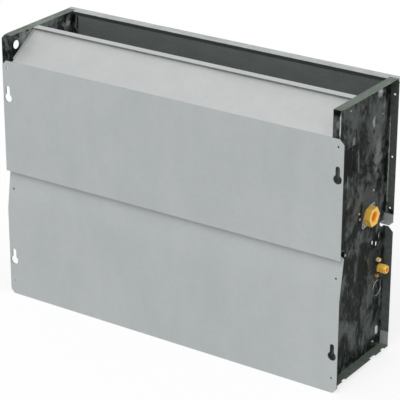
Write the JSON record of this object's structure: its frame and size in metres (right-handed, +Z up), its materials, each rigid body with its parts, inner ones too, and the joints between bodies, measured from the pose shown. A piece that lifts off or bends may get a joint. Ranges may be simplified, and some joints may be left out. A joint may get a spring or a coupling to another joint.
{
  "type": "fan coil unit",
  "caption": "Concealed vertical fan coil chassis that hangs on a wall: galvanised casing, tilted coil, double-inlet blowers, drain pan, slide-out filter and brass pipe connections.",
  "frame": {"origin": "on the wall face, on the centre line, level with the underside of the base flanges", "axes": "+X along the wall towards the pipe connections, +Y out of the wall into the room, +Z up"},
  "size_m": [0.79, 0.223, 0.5707],
  "materials": {
    "side_galvanised": "dark spangled zinc coat",
    "panel_galvanised": "light satin zinc coat",
    "inner_galvanised": "zinc coat",
    "fan_steel": "zinc coat",
    "shaft_steel": "ground",
    "foam": "closed-cell foam, dull",
    "fins": "bare, satin",
    "copper": "drawn copper tube",
    "brass": "turned",
    "motor_paint": "black semi-gloss",
    "rubber": "dull",
    "frame_plastic": "moulded",
    "filter_media": "pleated non-woven",
    "terminal_plastic": "moulded"
  },
  "bodies": {
    "chassis": {"left_side_panel": "side_galvanised", "right_side_panel": "side_galvanised", "upper_wall_panel": "panel_galvanised", "lower_wall_panel": "panel_galvanised", "discharge_baffle": "panel_galvanised", "room_side_panel": "inner_galvanised", "lining_edge_strip": "inner_galvanised", "base_rail": "inner_galvanised", "fan_deck": "inner_galvanised", "coil_top_baffle": "inner_galvanised", "drain_pan": "inner_galvanised", "left_coil_end_plate": "inner_galvanised", "right_coil_end_plate": "inner_galvanised", "connection_lock_plate": "inner_galvanised", "motor_cradle": "inner_galvanised", "left_filter_guide": "inner_galvanised", "right_filter_guide": "inner_galvanised", "terminal_plate": "inner_galvanised", "left_scroll_housing": "fan_steel", "right_scroll_housing": "fan_steel", "left_motor_strap": "shaft_steel", "right_motor_strap": "shaft_steel", "room_panel_lining": "foam", "coil_fin_pack": "fins", "left_return_bend_1": "copper", "left_return_bend_2": "copper", "left_return_bend_3": "copper", "left_return_bend_4": "copper", "left_return_bend_5": "copper", "left_return_bend_6": "copper", "left_return_bend_7": "copper", "left_return_bend_8": "copper", "right_return_bend_a1_a4": "copper", "right_return_bend_a2_a3": "copper", "right_return_bend_b3_b6": "copper", "right_return_bend_b4_b5": "copper", "right_return_bend_a5_a8": "copper", "right_return_bend_a6_a7": "copper", "lower_header": "copper", "upper_header": "copper", "upper_connection": "brass", "lower_connection": "brass", "vent_valve_body": "brass", "drain_valve_body": "brass", "fan_motor": "motor_paint", "left_motor_cushion": "rubber", "right_motor_cushion": "rubber", "cable_grommet": "rubber", "drain_spigot": "frame_plastic", "terminal_block": "terminal_plastic"},
    "fan_rotor": {"fan_shaft": "shaft_steel", "left_impeller": "fan_steel", "right_impeller": "fan_steel"},
    "filter": {"filter_frame": "frame_plastic", "filter_media": "filter_media"},
    "vent_screw": {"vent_valve_spindle": "brass"},
    "drain_screw": {"drain_valve_spindle": "brass"}
  },
  "joints": [
    {"name": "fan_spin", "type": "hinge", "parent": "chassis", "child": "fan_rotor", "pos_m": [0, 0.08, 0.095], "axis": [-1, 0, 0], "continuous": true},
    {"name": "filter_slide", "type": "slide", "parent": "chassis", "child": "filter", "axis": [0, 1, 0], "range_m": [0, 0.195]},
    {"name": "vent_screw_turn", "type": "hinge", "parent": "chassis", "child": "vent_screw", "pos_m": [0.3786, 0.1805, 0.1968], "axis": [1, 0, 0], "range_deg": [0, 360]},
    {"name": "drain_screw_turn", "type": "hinge", "parent": "chassis", "child": "drain_screw", "pos_m": [0.3706, 0.1885, 0.1582], "axis": [1, 0, 0], "range_deg": [0, 360]}
  ]
}
